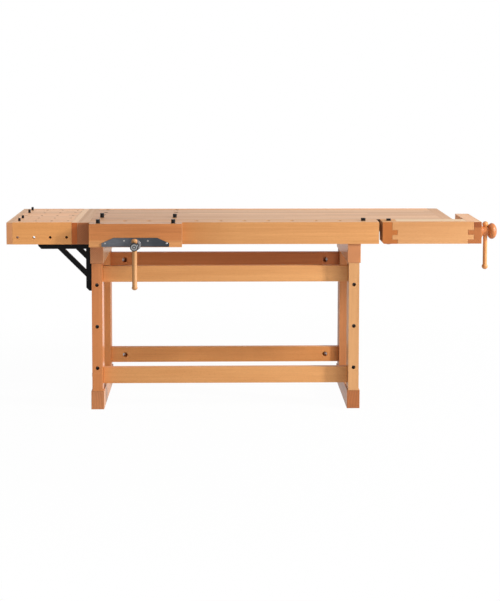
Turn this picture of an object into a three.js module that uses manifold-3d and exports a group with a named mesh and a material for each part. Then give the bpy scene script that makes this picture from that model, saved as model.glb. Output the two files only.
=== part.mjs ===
// Woodworking bench with a front vise, a tail vise and a bolt-on end extension.
// Millimetres, +Z up. In the bench's own layout X runs from the left end of the top,
// Y from the front face of the top towards the back, and Z from the floor.
import * as THREE from 'three';
import { mergeVertices } from 'three/addons/utils/BufferGeometryUtils.js';
import Module from 'manifold-3d';

const wasm = await Module();
wasm.setup();

// Fits
const seatGap = 0.3;
const runGap = 0.4;
const pegGap = 0.6;

// Bench top
const benchHeight = 900;
const benchLength = 1801;
const topDepth = 620;
const apronHeight = 104;
const coreThickness = 60;
const frontRailDepth = 125;
const rearApronThickness = 40;
const endCapWidth = 52;
const tailBayLength = 371.3;

// Bench dogs and their holes
const dogRadius = 11;
const dogLength = 123;
const dogHeadHeight = 24;
const dogHeadWidth = 18.5;
const dogRowInset = 64;
const firstDogHole = 220;
const dogPitch = 114;
const dogRowEndMargin = 45;
const crossRowStart = 216;
const crossRowPitch = 115;
const crossRowEndMargin = 16;
const dogWellDepth = 22;
const raisedVise = 18;
const raisedTop = [21, 17];
const raisedRail = 13;
const raisedTail = 10;

// Trestles and stretchers
const leftTrestleInset = 89;
const rightTrestleInset = 488;
const trestleSetback = 8;
const bearerWidth = 62;
const bearerHeight = 92;
const legWidth = 50;
const legDepth = 105;
const footWidth = 61;
const footHeight = 88;
const tenonWidth = 22;
const tenonDepth = 64;
const tenonLength = 42;
const pegHoleRadius = 9;
const pegHoleHeights = [200, 400, 600];
const stretcherHeight = 77;
const stretcherThickness = 34;
const lowerStretcherBottom = 115.5;
const upperStretcherDrop = 19.2;
const frontStretcherSetback = 48;
const rearStretcherSetback = 48;
const nutHoleRadius = 12.5;
const nutHoleDepth = 27;
const nutHoleInset = 72;
const boltRadius = 5;
const boltHeadRadius = 10.5;
const boltHeadHeight = 7;
const boltHeadChamfer = 3;
const boltEndPastNut = 0.5;

// End extension and its steel brackets
const extensionLength = 335;
const panelThickness = 28;
const gridColumns = 4;
const gridRows = 5;
const gridColumnMargin = 52;
const gridRowMargin = 72;
const pegDogRadius = 6;
const pegDogLength = 62;
const pegDogRows = [0, 1, 3, 4];
const raisedPegDogs = [14, 14, 17, 17];
const sideHoleDrop = 70.5;
const bracketThickness = 25;
const bracketReach = 190;
const bracketDrop = 226;
const bracketBar = 21;
const bracketArmDrop = 25;
const bracketFlangeGap = 22;
const bracketTipChamfer = 15;
const frontLongBraceStart = 102;
const rearLongBraceStart = 72;
const shortBraceStart = 17;
const braceBar = 31;

// Front vise
const jawLength = 436;
const jawThickness = 55;
const jawDrop = 7;
const jawCentre = 276;
const jawDogSpacing = 354;
const frontTravel = 150;
const frontScrewBelowCore = 38;
const frontScrewRadius = 14;
const frontScrewSpare = 25;
const facePlateThickness = 4;
const facePlateLength = 317;
const facePlateTopLength = 204;
const facePlateHeight = 42;
const facePlateSideHeight = 17;
const facePlateRise = 3;
const guideBarRadius = 11;
const guideBarSpacing = 280;
const guideBarBelowCore = 24;
const guideBarSpare = 55;
const guideBarSocket = 38;
const frontNutWidth = 64;
const frontNutDepth = 60;
const frontNutSetback = 190;
const frontNutBelow = 24;
const collarRadius = 27;
const collarLength = 38;
const collarLip = 8;
const frontHubRadius = 19.5;
const frontHubLength = 60;
const frontHubChamfer = 3.5;
const frontHandleRadius = 11.5;
const frontHandleLength = 207;
const frontKnobRadius = 13.8;
const frontKnobHeight = 17;

// Tail vise
const tailOpening = 17.3;
const tailTravel = 130;
const tailJawLength = 70.2;
const tailFingerLeft = 25.2;
const tailFingerRight = 28;
const tailBoardThickness = 40;
const tailBlockLength = 65.5;
const tailBlockDepth = 367;
const tailBlockStandoff = 53;
const tailCoverThickness = 24;
const tailJawCorner = 9;
const topFinger = 38;
const midFinger = 23;
const tailDogInset = 35;
const tailScrewInset = 66;
const tailScrewDrop = 51;
const tailScrewRadius = 14;
const tailScrewSpare = 27;
const tailScrewInHead = 12;
const tailNutBelow = 45;
const tailNutGap = 5;
const tailGuideInset = 290;
const tailGuideBelowCore = 22;
const tailGuideRadius = 11;
const tailGuideSpare = 70;
const tailGuideSocket = 20;
const headFlangeRadius = 33.5;
const headFlangeLength = 11;
const headCoveLength = 6;
const headNeckRadius = 23;
const headNeckLength = 24;
const mushroomRadius = 38.5;
const mushroomLength = 43;
const tailHandleRadius = 10.2;
const tailHandleLength = 184;
const tailKnobRadius = 14.5;
const tailKnobHeight = 24;
const spigotRadius = 6;
const spigotLength = 9;

// Facets of the round pieces
const holeSides = 16;
const smallSides = 12;
const turnedSides = 24;
const bulbRings = 6;
const coveRings = 4;
const cornerSteps = 8;
const mergeDistance = 1e-4;

// Finishes
const finish = (color, roughness, metalness) => (
  new THREE.MeshStandardMaterial({ color, roughness, metalness }));
const beech = finish(0xd99a5f, 0.55, 0);
const beechTop = finish(0xcfa27c, 0.5, 0);
const endGrain = finish(0xb97b52, 0.6, 0);
const turnedWood = finish(0xe0a262, 0.4, 0);
const steel = finish(0x9aa0a4, 0.35, 1);
const greyPlate = finish(0x6d767c, 0.4, 0.9);
const blackSteel = finish(0x1b1c1d, 0.5, 0.3);
const blackDog = finish(0x151617, 0.45, 0.1);

// A closed solid from a geometry: shared points merged, slivers at the poles left out.
function solid(geometry) {
  geometry.deleteAttribute('normal');
  geometry.deleteAttribute('uv');
  const merged = mergeVertices(geometry, mergeDistance);
  const index = merged.index.array;
  const triangles = [];
  for (let i = 0; i < index.length; i += 3) {
    const [a, b, c] = [index[i], index[i + 1], index[i + 2]];
    if (a !== b && b !== c && c !== a) triangles.push(a, b, c);
  }
  return new wasm.Manifold(new wasm.Mesh({
    numProp: 3,
    vertProperties: new Float32Array(merged.attributes.position.array),
    triVerts: new Uint32Array(triangles),
  }));
}

// A box between low and high values along X, Y and Z.
function block([x0, x1], [y0, y1], [z0, z1]) {
  const box = new THREE.BoxGeometry(x1 - x0, y1 - y0, z1 - z0);
  return solid(box.translate((x0 + x1) / 2, (y0 + y1) / 2, (z0 + z1) / 2));
}

// Turns a geometry made around Y so that its length lies along X, -X, -Y, Y or Z.
const alongAxis = {
  x: (geometry) => geometry.rotateZ(-Math.PI / 2),
  left: (geometry) => geometry.rotateZ(Math.PI / 2),
  front: (geometry) => geometry.rotateZ(Math.PI),
  y: (geometry) => geometry,
  z: (geometry) => geometry.rotateX(Math.PI / 2),
};

// A round bar or drill: axis, the bar's start point, its radius and its length.
function rod(axis, [x, y, z], radius, length, sides = holeSides) {
  const bar = new THREE.CylinderGeometry(radius, radius, length, sides).translate(0, length / 2, 0);
  return solid(alongAxis[axis](bar).translate(x, y, z));
}

// A turned piece: [radius, distance] pairs along the axis, starting and ending on the axis.
function turned(axis, [x, y, z], profile, sides = turnedSides) {
  const points = profile.map(([radius, distance]) => new THREE.Vector2(radius, distance));
  const lathe = new THREE.LatheGeometry(points, sides);
  return solid(alongAxis[axis](lathe).translate(x, y, z));
}

// A plate whose outline lies in the XZ plane, between two depths.
function plate(shape, [y0, y1]) {
  const options = { depth: y1 - y0, bevelEnabled: false, curveSegments: cornerSteps };
  const sheet = new THREE.ExtrudeGeometry(shape, options);
  return solid(sheet.rotateX(Math.PI / 2).translate(0, y1, 0));
}

// Profile of a bulb that swells out of a neck and closes on the axis, from its start to its tip.
function bulb(neckRadius, radius, start, length) {
  const from = -Math.acos(neckRadius / radius);
  const half = length / (1 - Math.sin(from));
  return Array.from({ length: bulbRings + 1 }, (_, i) => {
    const angle = from + (Math.PI / 2 - from) * (i / bulbRings);
    const ring = i === bulbRings ? 0 : radius * Math.cos(angle);
    return [ring, start + half * (Math.sin(angle) - Math.sin(from))];
  });
}

// Profile of a hollow curve that runs in from a flange and meets a neck smoothly.
function cove(flangeRadius, neckRadius, start, length) {
  return Array.from({ length: coveRings + 1 }, (_, i) => {
    const angle = (Math.PI / 2) * (i / coveRings);
    const ring = flangeRadius - (flangeRadius - neckRadius) * Math.sin(angle);
    return [ring, start + length * (1 - Math.cos(angle))];
  });
}

function outline(points) {
  return new THREE.Shape(points.map(([x, z]) => new THREE.Vector2(x, z)));
}

const cut = (body, tools) => tools.reduce((left, tool) => left.subtract(tool), body);
const join = (bodies) => bodies.reduce((whole, body) => whole.add(body));

const bench = new THREE.Group();

function place(name, body, material, position = [0, 0, 0]) {
  const { vertProperties, triVerts } = body.getMesh();
  const geometry = new THREE.BufferGeometry();
  geometry.setAttribute('position', new THREE.BufferAttribute(new Float32Array(vertProperties), 3));
  geometry.setIndex(new THREE.BufferAttribute(new Uint32Array(triVerts), 1));
  geometry.computeVertexNormals();
  const mesh = new THREE.Mesh(geometry, material);
  mesh.name = name;
  mesh.position.set(...position);
  bench.add(mesh);
}

// Levels and lines shared by several pieces
const apronBottom = benchHeight - apronHeight;
const coreBottom = benchHeight - coreThickness;
const railRight = benchLength - tailBayLength;
const innerLeft = endCapWidth + seatGap;
const innerRight = benchLength - endCapWidth - seatGap;
const rearApronFront = topDepth - rearApronThickness;
const holeRadius = dogRadius + runGap;
const bearerTop = apronBottom - seatGap;

// A dog hole runs through the top and on into a shallow well where a bearer lies under it.
function dogHole(x, y) {
  const bottom = bearerTop - dogWellDepth;
  return rod('z', [x, y, bottom], holeRadius, benchHeight + dogLength - bottom);
}

// Where the dogs and their holes are
const dogRowCount = 1 + Math.floor((railRight - dogRowEndMargin - firstDogHole) / dogPitch);
const dogRow = Array.from({ length: dogRowCount }, (_, i) => firstDogHole + i * dogPitch);
const crossRowRoom = rearApronFront - crossRowEndMargin - crossRowStart;
const crossRowCount = 1 + Math.floor(crossRowRoom / crossRowPitch);
const crossRow = Array.from({ length: crossRowCount }, (_, i) => crossRowStart + i * crossRowPitch);
const viseDogColumns = [jawCentre - jawDogSpacing / 2, jawCentre + jawDogSpacing / 2];
const railHoles = dogRow.map((x) => dogHole(x, dogRowInset));
const crossHoles = viseDogColumns.flatMap((x) => crossRow.map((y) => dogHole(x, y)));

// Front vise lines
const frontScrewZ = coreBottom - frontScrewBelowCore;
const guideBarZ = coreBottom - guideBarBelowCore;
const guideBarColumns = [jawCentre - guideBarSpacing / 2, jawCentre + guideBarSpacing / 2];
const jawBottom = apronBottom - jawDrop;
const jawFront = -seatGap - jawThickness;
const plateFront = jawFront - seatGap - facePlateThickness;
const collarBack = plateFront - seatGap;
const hubFront = collarBack - collarLength - frontHubLength;
const frontHandleY = hubFront + frontHubLength / 2;

// An upside-down U cut for the front screw, open at the bottom edge of what it passes through.
function screwSlot(bottom, span) {
  const radius = frontScrewRadius + runGap;
  const shape = new THREE.Shape();
  shape.moveTo(jawCentre - radius, bottom - radius);
  shape.lineTo(jawCentre + radius, bottom - radius);
  shape.lineTo(jawCentre + radius, frontScrewZ);
  shape.absarc(jawCentre, frontScrewZ, radius, 0, Math.PI, false);
  shape.closePath();
  return plate(shape, span);
}

// Tail vise lines
const tailScrewZ = benchHeight - tailScrewDrop;
const tailGuideZ = coreBottom - tailGuideBelowCore;
const headNeckEnd = headFlangeLength + headCoveLength + headNeckLength;

// Bench top: core, front rail with the dog holes, rear apron and end caps
function makeTop() {
  const core = block([innerLeft, innerRight], [frontRailDepth + seatGap, rearApronFront - seatGap],
    [coreBottom, benchHeight]);
  place('bench_top', cut(core, crossHoles), beechTop);

  const rail = block([innerLeft, railRight], [0, frontRailDepth], [apronBottom, benchHeight]);
  const barHoles = guideBarColumns.map((x) => (
    rod('y', [x, -frontRailDepth, guideBarZ], guideBarRadius + runGap, frontRailDepth * 3)));
  const slot = screwSlot(apronBottom, [-frontRailDepth, frontRailDepth * 2]);
  place('dog_rail', cut(rail, [...railHoles, ...barHoles, slot]), beech);

  const height = [apronBottom, benchHeight];
  place('rear_apron', block([innerLeft, innerRight], [rearApronFront, topDepth], height), beech);
  place('left_end_cap', block([0, endCapWidth], [0, topDepth], height), endGrain);

  const rightCap = block([benchLength - endCapWidth, benchLength], [frontRailDepth + seatGap, topDepth],
    height);
  const guideHole = rod('x', [benchLength - endCapWidth * 2, tailGuideInset, tailGuideZ],
    tailGuideRadius + runGap, endCapWidth * 3);
  place('right_end_cap', cut(rightCap, [guideHole]), endGrain);
}

// Trestles: bearer, two legs tenoned into it and into the foot
const trestles = [
  ['left', leftTrestleInset, -1],
  ['right', benchLength - rightTrestleInset, 1],
];
const legRows = [
  ['front', trestleSetback],
  ['rear', topDepth - trestleSetback - legDepth],
];
const bearerBottom = bearerTop - bearerHeight;
const legTop = bearerBottom - seatGap;
const legBottom = footHeight + seatGap;
const stretcherRows = [
  ['front', trestleSetback + frontStretcherSetback, 1],
  ['rear', topDepth - trestleSetback - rearStretcherSetback - stretcherThickness, -1],
];
const stretcherLevels = [
  ['upper', bearerBottom - upperStretcherDrop - stretcherHeight],
  ['lower', lowerStretcherBottom],
];

function tenon(y, z, length, slack) {
  const middle = y + legDepth / 2;
  return block([-tenonWidth / 2 - slack, tenonWidth / 2 + slack],
    [middle - tenonDepth / 2 - slack, middle + tenonDepth / 2 + slack],
    [z - length - slack, z + length + slack]);
}

function makeTrestles() {
  const span = [trestleSetback, topDepth - trestleSetback];
  for (const [side, centre] of trestles) {
    const bearer = block([-bearerWidth / 2, bearerWidth / 2], span, [bearerBottom, bearerTop]);
    const foot = block([-footWidth / 2, footWidth / 2], span, [0, footHeight]);
    const upperMortises = legRows.map(([, y]) => tenon(y, bearerBottom, tenonLength, seatGap));
    const lowerMortises = legRows.map(([, y]) => tenon(y, footHeight, tenonLength, seatGap));
    const wells = [...railHoles, ...crossHoles].map((hole) => hole.translate(-centre, 0, 0));
    place(`${side}_bearer`, cut(bearer, [...upperMortises, ...wells]), endGrain, [centre, 0, 0]);
    place(`${side}_foot`, cut(foot, lowerMortises), endGrain, [centre, 0, 0]);

    for (const [row, y] of legRows) {
      const post = block([-legWidth / 2, legWidth / 2], [y, y + legDepth], [legBottom, legTop]);
      const ends = [tenon(y, legTop, tenonLength, 0), tenon(y, legBottom, tenonLength, 0)];
      const pegHeights = row === 'front' ? pegHoleHeights : [];
      const pegHoles = pegHeights.map((z) => rod('y', [0, y - legDepth, z], pegHoleRadius, legDepth * 3));
      const boltY = stretcherRows.find(([name]) => name === row)[1] + stretcherThickness / 2;
      const boltHoles = stretcherLevels.map(([, bottom]) => rod('x',
        [-legWidth, boltY, bottom + stretcherHeight / 2], boltRadius + runGap, legWidth * 2, smallSides));
      const leg = cut(join([post, ...ends]), [...pegHoles, ...boltHoles]);
      place(`${side}_${row}_leg`, leg, beech, [centre, 0, 0]);
    }
  }
}

// Stretchers between the trestles, each drawn up by a bolt and a cross nut at either end
function makeStretchers() {
  const inner = [leftTrestleInset + legWidth / 2 + seatGap,
    benchLength - rightTrestleInset - legWidth / 2 - seatGap];
  for (const [level, bottom] of stretcherLevels) {
    for (const [row, y, inward] of stretcherRows) {
      const middle = [y + stretcherThickness / 2, bottom + stretcherHeight / 2];
      const bar = block(inner, [y, y + stretcherThickness], [bottom, bottom + stretcherHeight]);
      const nutFace = inward > 0 ? y + stretcherThickness - nutHoleDepth : y - nutHoleDepth;
      const nutHoles = [inner[0] + nutHoleInset, inner[1] - nutHoleInset].map((x) => (
        rod('y', [x, nutFace, middle[1]], nutHoleRadius, nutHoleDepth * 2)));
      const boltHoles = [inner[0] - nutHoleInset, inner[1] - nutHoleInset].map((x) => (
        rod('x', [x, ...middle], boltRadius + runGap, nutHoleInset * 2, smallSides)));
      place(`${level}_${row}_stretcher`, cut(bar, [...nutHoles, ...boltHoles]), beech);

      for (const [side, centre, outward] of trestles) {
        const shank = legWidth + seatGap * 2 + nutHoleInset + boltEndPastNut;
        const profile = [[0, -boltHeadHeight], [boltHeadRadius - boltHeadChamfer, -boltHeadHeight],
          [boltHeadRadius, boltHeadChamfer - boltHeadHeight], [boltHeadRadius, 0], [boltRadius, 0],
          [boltRadius, shank], [0, shank]];
        const bolt = turned(outward < 0 ? 'x' : 'left', [0, 0, 0], profile, smallSides);
        const outer = centre + outward * (legWidth / 2 + seatGap);
        place(`${side}_${level}_${row}_bolt`, bolt, steel, [outer, ...middle]);
      }
    }
  }
}

// End extension: four panels round a drilled top panel, carried by two welded brackets
const extensionRight = -seatGap;
const extensionLeft = extensionRight - extensionLength;
const panelsBetween = [extensionLeft + panelThickness + seatGap, extensionRight - panelThickness - seatGap];
const extensionTopBottom = benchHeight - panelThickness;

function makeExtension() {
  const height = [apronBottom, benchHeight];
  const gridHoleRadius = pegDogRadius + pegGap;
  const columnPitch = (extensionLength - gridColumnMargin * 2) / (gridColumns - 1);
  const columns = Array.from({ length: gridColumns }, (_, i) => (
    extensionLeft + gridColumnMargin + i * columnPitch));
  const rowPitch = (topDepth - gridRowMargin * 2) / (gridRows - 1);
  const rows = Array.from({ length: gridRows }, (_, i) => gridRowMargin + i * rowPitch);

  const top = block(panelsBetween, [panelThickness + seatGap, topDepth - panelThickness - seatGap],
    [extensionTopBottom, benchHeight]);
  const gridHoles = columns.flatMap((x) => rows.map((y) => (
    rod('z', [x, y, extensionTopBottom - panelThickness], gridHoleRadius, panelThickness * 3, smallSides))));
  place('extension_top', cut(top, gridHoles), beechTop);

  const sideHoles = columns.map((x) => rod('y', [x, -panelThickness, benchHeight - sideHoleDrop],
    gridHoleRadius, panelThickness * 3, smallSides));
  const frontPanel = block(panelsBetween, [0, panelThickness], height);
  place('extension_front_panel', cut(frontPanel, sideHoles), beech);
  const rearPanel = block(panelsBetween, [topDepth - panelThickness, topDepth], height);
  place('extension_rear_panel', rearPanel, beech);
  const outerPanel = block([extensionLeft, extensionLeft + panelThickness], [0, topDepth], height);
  place('extension_outer_panel', outerPanel, endGrain);
  const innerPanel = block([extensionRight - panelThickness, extensionRight], [0, topDepth], height);
  place('extension_inner_panel', innerPanel, endGrain);

  pegDogRows.forEach((row, i) => {
    const peg = rod('z', [0, 0, raisedPegDogs[i] - pegDogLength], pegDogRadius, pegDogLength, smallSides);
    place(`extension_dog_${i + 1}`, peg, blackDog, [columns[0], rows[row], benchHeight]);
  });

  const frontSpan = [panelThickness + seatGap, panelThickness + seatGap + bracketThickness];
  const rearSpan = frontSpan.map((y) => topDepth - y).reverse();
  place('front_bracket', makeBracket(frontLongBraceStart, frontSpan), blackSteel);
  place('rear_bracket', makeBracket(rearLongBraceStart, rearSpan), blackSteel);
}

// A welded bracket: a flange and an arm under the extension, a post on the leg and two braces
function makeBracket(longBraceStart, span) {
  const armTop = apronBottom - seatGap;
  const armBottom = armTop - bracketArmDrop;
  const postRight = leftTrestleInset - bearerWidth / 2 - seatGap;
  const legFace = leftTrestleInset - legWidth / 2 - seatGap;
  const postLeft = postRight - bracketBar;
  const postBottom = armTop - bracketDrop;
  const flangeRight = panelsBetween[1] - seatGap;
  const flangeTop = extensionTopBottom - bracketFlangeGap;
  const shape = outline([
    [-bracketReach, armBottom + bracketTipChamfer], [-bracketReach + bracketTipChamfer, armBottom],
    [postLeft - longBraceStart - braceBar, armBottom], [postLeft, armBottom - longBraceStart - braceBar],
    [postLeft, postBottom + bracketTipChamfer], [postLeft + bracketTipChamfer, postBottom],
    [legFace, postBottom], [legFace, bearerBottom - seatGap], [postRight, bearerBottom - seatGap],
    [postRight, armTop],
    [flangeRight, armTop], [flangeRight, flangeTop], [-bracketReach, flangeTop],
  ]);
  const openings = [
    outline([[postLeft - longBraceStart, armBottom], [postLeft, armBottom - longBraceStart],
      [postLeft, armBottom - shortBraceStart - braceBar],
      [postLeft - shortBraceStart - braceBar, armBottom]]),
    outline([[postLeft - shortBraceStart, armBottom], [postLeft, armBottom - shortBraceStart],
      [postLeft, armBottom]]),
  ];
  const through = [span[0] - bracketThickness, span[1] + bracketThickness];
  return cut(plate(shape, span), openings.map((gap) => plate(gap, through)));
}

// A turned handle bar with a knob on its lower end, and the knob that caps its upper end
function makeHandle(name, position, barRadius, length, knobRadius, knobHeight) {
  const lower = bulb(barRadius, knobRadius, length, knobHeight).map(([r, d]) => [r, -d]).reverse();
  const bar = [...lower, [barRadius, 0], [spigotRadius, 0], [spigotRadius, spigotLength],
    [0, spigotLength]];
  place(`${name}_handle`, turned('z', [0, 0, 0], bar), turnedWood, position);

  const socket = spigotRadius + seatGap;
  const depth = spigotLength + seatGap * 2;
  const knob = [[0, depth], [socket, depth], [socket, seatGap],
    ...bulb(barRadius, knobRadius, seatGap, knobHeight)];
  place(`${name}_handle_knob`, turned('z', [0, 0, 0], knob), turnedWood, position);
}

// Front vise: wooden jaw, steel face plate, two guide bars, a screw and its fixed nut
function makeFrontVise() {
  const half = jawLength / 2;
  const jaw = block([jawCentre - half, jawCentre + half], [jawFront, -seatGap], [jawBottom, benchHeight]);
  const dogHoles = viseDogColumns.map((x) => dogHole(x, -seatGap - jawThickness / 2));
  const sockets = guideBarColumns.map((x) => (
    rod('y', [x, -guideBarSocket - seatGap * 2, guideBarZ], guideBarRadius + runGap, guideBarSocket * 2)));
  const slot = screwSlot(jawBottom, [jawFront - jawThickness, jawThickness]);
  place('front_jaw', cut(jaw, [...dogHoles, ...sockets, slot]), beech);

  const base = jawBottom + facePlateRise;
  const faceOutline = outline([
    [jawCentre - facePlateLength / 2, base], [jawCentre + facePlateLength / 2, base],
    [jawCentre + facePlateLength / 2, base + facePlateSideHeight],
    [jawCentre + facePlateTopLength / 2, base + facePlateHeight],
    [jawCentre - facePlateTopLength / 2, base + facePlateHeight],
    [jawCentre - facePlateLength / 2, base + facePlateSideHeight],
  ]);
  const face = plate(faceOutline, [plateFront, jawFront - seatGap]);
  place('face_plate', cut(face, [screwSlot(jawBottom, [plateFront - jawThickness, 0])]), greyPlate);

  const guideBarBack = frontRailDepth + frontTravel + guideBarSpare;
  guideBarColumns.forEach((x, i) => {
    const bar = rod('y', [0, -seatGap - guideBarSocket, 0], guideBarRadius, guideBarSocket + guideBarBack);
    place(`guide_bar_${i + 1}`, bar, steel, [x, 0, guideBarZ]);
  });

  const nutBack = frontNutSetback + frontNutDepth;
  const back = collarBack - nutBack - frontTravel - frontScrewSpare;
  const hubEnd = collarLength + frontHubLength;
  const profile = [[0, back], [frontScrewRadius, back], [frontScrewRadius, 0], [collarRadius, 0],
    [collarRadius, collarLip], [frontHubRadius, collarLength], [frontHubRadius, hubEnd - frontHubChamfer],
    [frontHubRadius - frontHubChamfer, hubEnd], [0, hubEnd]];
  const screw = turned('front', [jawCentre, collarBack, frontScrewZ], profile);
  const handleHole = rod('z', [jawCentre, frontHandleY, frontScrewZ - collarRadius * 2],
    frontHandleRadius + runGap, collarRadius * 4);
  place('front_screw', cut(screw, [handleHole]), steel);

  const knobSeat = frontScrewZ + frontHubRadius;
  makeHandle('front', [jawCentre, frontHandleY, knobSeat], frontHandleRadius, frontHandleLength,
    frontKnobRadius, frontKnobHeight);

  const nut = block([jawCentre - frontNutWidth / 2, jawCentre + frontNutWidth / 2],
    [frontNutSetback, nutBack], [frontScrewZ - frontNutBelow, coreBottom - seatGap]);
  const thread = rod('y', [jawCentre, frontNutSetback - frontNutDepth, frontScrewZ],
    frontScrewRadius + runGap, frontNutDepth * 3);
  place('front_nut', cut(nut, [thread]), blackSteel);
}

// Tail vise: jaw, front board and end block joined by fingers, riding on a screw and a guide bar
const tailJawLeft = railRight + tailOpening;
const tailJawRight = tailJawLeft + tailJawLength;
const tailBlockLeft = benchLength + tailBlockStandoff;
const tailBlockRight = tailBlockLeft + tailBlockLength;
const boardFingers = [
  [benchHeight - topFinger, benchHeight],
  [benchHeight - topFinger - midFinger * 2, benchHeight - topFinger - midFinger],
];

function fingerSpans(x, slack) {
  return boardFingers.map(([low, high]) => (
    block(x, [-slack, tailBoardThickness + slack], [low - slack, high + slack])));
}

function makeTailVise() {
  const jawShape = new THREE.Shape();
  jawShape.moveTo(tailJawLeft + tailJawCorner, apronBottom);
  jawShape.lineTo(tailJawRight, apronBottom);
  jawShape.lineTo(tailJawRight, benchHeight);
  jawShape.lineTo(tailJawLeft, benchHeight);
  jawShape.lineTo(tailJawLeft, apronBottom + tailJawCorner);
  jawShape.absarc(tailJawLeft + tailJawCorner, apronBottom + tailJawCorner, tailJawCorner,
    Math.PI, Math.PI * 1.5, false);
  const jaw = plate(jawShape, [0, frontRailDepth - seatGap]);
  const notchLeft = tailJawRight - tailFingerLeft - seatGap;
  const jawNotches = fingerSpans([notchLeft, tailJawRight + tailFingerLeft], seatGap);
  const jawDogHole = dogHole(tailJawLeft + tailDogInset, dogRowInset);
  place('tail_jaw', cut(jaw, [...jawNotches, jawDogHole]), endGrain);

  const board = block([tailJawRight + seatGap, tailBlockLeft - seatGap], [0, tailBoardThickness],
    [apronBottom, benchHeight]);
  const fingers = fingerSpans([tailJawRight - tailFingerLeft, tailBlockLeft + tailFingerRight], 0);
  place('tail_front_board', join([board, ...fingers]), beech);

  const cover = block([tailJawRight + seatGap, tailBlockLeft - seatGap],
    [tailBoardThickness + seatGap, frontRailDepth - seatGap],
    [benchHeight - tailCoverThickness, benchHeight]);
  place('tail_cover', cover, beechTop);

  const endBlock = block([tailBlockLeft, tailBlockRight], [0, tailBlockDepth], [apronBottom, benchHeight]);
  const notchRight = tailBlockLeft + tailFingerRight + seatGap;
  const blockNotches = fingerSpans([tailBlockLeft - tailFingerRight, notchRight], seatGap);
  const bore = rod('x', [tailBlockLeft - tailBlockLength, tailScrewInset, tailScrewZ],
    tailScrewRadius + runGap, tailBlockLength * 3);
  const socket = rod('x', [tailBlockLeft - tailGuideSocket, tailGuideInset, tailGuideZ],
    tailGuideRadius + seatGap, tailGuideSocket * 2 + seatGap);
  place('tail_end_block', cut(endBlock, [...blockNotches, bore, socket]), endGrain);

  const innermost = benchLength - endCapWidth - tailTravel;
  const guideStart = innermost - tailGuideSpare;
  const guide = rod('x', [guideStart, 0, 0], tailGuideRadius, tailBlockLeft + tailGuideSocket - guideStart);
  place('tail_guide_bar', guide, steel, [0, tailGuideInset, tailGuideZ]);

  const screwStart = innermost - tailScrewSpare;
  const screwEnd = tailBlockRight + tailScrewInHead;
  const screw = rod('x', [screwStart, 0, 0], tailScrewRadius, screwEnd - screwStart);
  place('tail_screw', screw, steel, [0, tailScrewInset, tailScrewZ]);

  const nut = block([benchLength - endCapWidth, benchLength],
    [tailBoardThickness + tailNutGap, frontRailDepth],
    [tailScrewZ - tailNutBelow, benchHeight - tailCoverThickness - tailNutGap]);
  const thread = rod('x', [benchLength - endCapWidth * 2, tailScrewInset, tailScrewZ],
    tailScrewRadius + runGap, endCapWidth * 3);
  place('tail_nut', cut(nut, [thread]), beech);

  const socketDepth = tailScrewInHead + seatGap;
  const socketRadius = tailScrewRadius + seatGap;
  const headProfile = [[0, socketDepth], [socketRadius, socketDepth], [socketRadius, 0],
    [headFlangeRadius, 0], ...cove(headFlangeRadius, headNeckRadius, headFlangeLength, headCoveLength),
    ...bulb(headNeckRadius, mushroomRadius, headNeckEnd, mushroomLength)];
  const head = turned('x', [tailBlockRight + seatGap, tailScrewInset, tailScrewZ], headProfile);
  const handleX = tailBlockRight + seatGap + headNeckEnd - headNeckLength / 2;
  const handleHole = rod('z', [handleX, tailScrewInset, tailScrewZ - mushroomRadius * 2],
    tailHandleRadius + runGap, mushroomRadius * 4);
  place('tail_screw_head', cut(head, [handleHole]), turnedWood);

  makeHandle('tail', [handleX, tailScrewInset, tailScrewZ + headNeckRadius], tailHandleRadius,
    tailHandleLength, tailKnobRadius, tailKnobHeight);
}

// Bench dogs: round pins whose heads are milled flat on two sides
function makeDog(name, x, y, raised, acrossX) {
  const pin = rod('z', [0, 0, raised - dogLength], dogRadius, dogLength);
  const half = dogHeadWidth / 2;
  const flats = [[half, dogRadius * 2], [-dogRadius * 2, -half]].map((side) => {
    const width = acrossX ? side : [-dogRadius * 2, dogRadius * 2];
    const depth = acrossX ? [-dogRadius * 2, dogRadius * 2] : side;
    return block(width, depth, [raised - dogHeadHeight, raised + dogHeadHeight]);
  });
  place(name, cut(pin, flats), blackDog, [x, y, benchHeight]);
}

function makeDogs() {
  const jawMiddle = -seatGap - jawThickness / 2;
  ['left', 'right'].forEach((side, i) => {
    makeDog(`${side}_jaw_dog`, viseDogColumns[i], jawMiddle, raisedVise, true);
    makeDog(`${side}_top_dog`, viseDogColumns[i], crossRow[0], raisedTop[i], true);
  });
  makeDog('rail_dog', dogRow[dogRowCount - 1], dogRowInset, raisedRail, false);
  makeDog('tail_dog', tailJawLeft + tailDogInset, dogRowInset, raisedTail, false);
}

makeTop();
makeTrestles();
makeStretchers();
makeExtension();
makeFrontVise();
makeTailVise();
makeDogs();

// The origin is on the floor, under the middle of the whole bench.
const farRight = tailBlockRight + seatGap + headNeckEnd + mushroomLength;
bench.position.set(-(extensionLeft + farRight) / 2, -(hubFront + topDepth) / 2, 0);
bench.updateMatrixWorld(true);

export default bench;
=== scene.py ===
import math
import bmesh
import bpy
from mathutils import Matrix, Vector


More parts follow.
